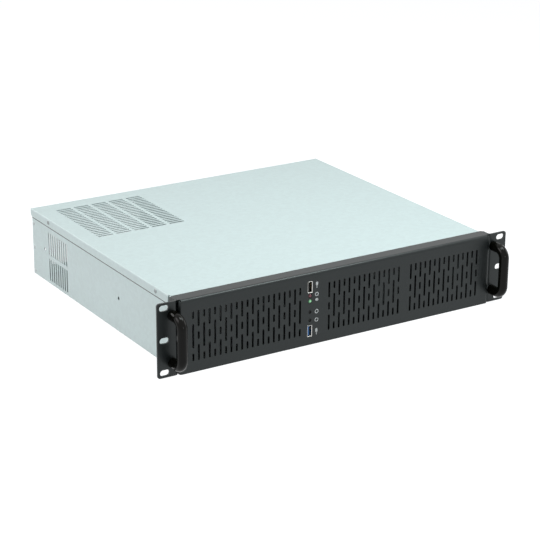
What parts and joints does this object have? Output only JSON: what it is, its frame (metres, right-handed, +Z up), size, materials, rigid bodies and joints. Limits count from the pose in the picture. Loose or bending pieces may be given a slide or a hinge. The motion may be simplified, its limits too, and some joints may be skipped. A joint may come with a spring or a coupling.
{
  "type": "rackmount server case",
  "caption": "Empty short 2U rackmount server case: galvanised tray and lid, black slotted front panel, rack ears with bar handles, sprung front buttons.",
  "frame": {"origin": "middle of the rack slot pattern: on the centreline, at the ears' front faces, half way up the ears", "axes": "+X to the right seen from the front, +Y from the front to the back, +Z up"},
  "size_m": [0.4826, 0.409, 0.0882],
  "materials": {
    "galvanised_steel": "galvanised, pale, faint spangle",
    "black_powder_coat": "fine textured satin black",
    "gloss_black_bar": "gloss black",
    "circuit_board": "green solder mask",
    "plated_shell": "bright nickel plate",
    "black_plastic": "matt black",
    "blue_plastic": "matt blue",
    "red_lens": "clear tinted, unlit",
    "green_lens": "clear tinted, lit",
    "standoff_brass": "plain brass",
    "zinc_screw": "zinc plated",
    "black_screw": "black oxide"
  },
  "bodies": {
    "case": {"board_standoffs": "standoff_brass", "chassis_base": "galvanised_steel", "cover_screws": "zinc_screw", "drive_cage": "galvanised_steel", "drive_cage_screws": "zinc_screw", "ear_bracket_screws": "black_screw", "fan_bracket": "galvanised_steel", "fan_bracket_screws": "zinc_screw", "front_panel": "black_powder_coat", "front_rail": "galvanised_steel", "green_led": "green_lens", "handle_screws": "zinc_screw", "io_board": "circuit_board", "io_board_screws": "zinc_screw", "io_bracket": "galvanised_steel", "io_bracket_screws": "zinc_screw", "left_ear_bracket": "black_powder_coat", "left_handle": "gloss_black_bar", "panel_screws": "black_screw", "power_supply_stop": "galvanised_steel", "power_supply_stop_screws": "zinc_screw", "power_switch": "black_plastic", "rear_panel": "galvanised_steel", "rear_panel_rivets": "zinc_screw", "red_led": "red_lens", "reset_switch": "black_plastic", "right_ear_bracket": "black_powder_coat", "right_handle": "gloss_black_bar", "side_tab_screws": "black_screw", "slot_cover_1": "galvanised_steel", "slot_cover_2": "galvanised_steel", "slot_cover_3": "galvanised_steel", "slot_cover_4": "galvanised_steel", "slot_cover_screws": "zinc_screw", "top_cover": "galvanised_steel", "usb2_shell": "plated_shell", "usb2_tongue": "black_plastic", "usb3_shell": "plated_shell", "usb3_tongue": "blue_plastic"},
    "power_button": {"power_button": "black_plastic"},
    "reset_button": {"reset_button": "black_plastic"}
  },
  "joints": [
    {"name": "power_button_press", "type": "slide", "parent": "case", "child": "power_button", "axis": [0, 1, 0], "range_m": [0, 0.0005], "stiffness_N_per_m": 400, "springref_m": -0.001},
    {"name": "reset_button_press", "type": "slide", "parent": "case", "child": "reset_button", "axis": [0, 1, 0], "range_m": [0, 0.0005], "stiffness_N_per_m": 400, "springref_m": -0.001}
  ]
}
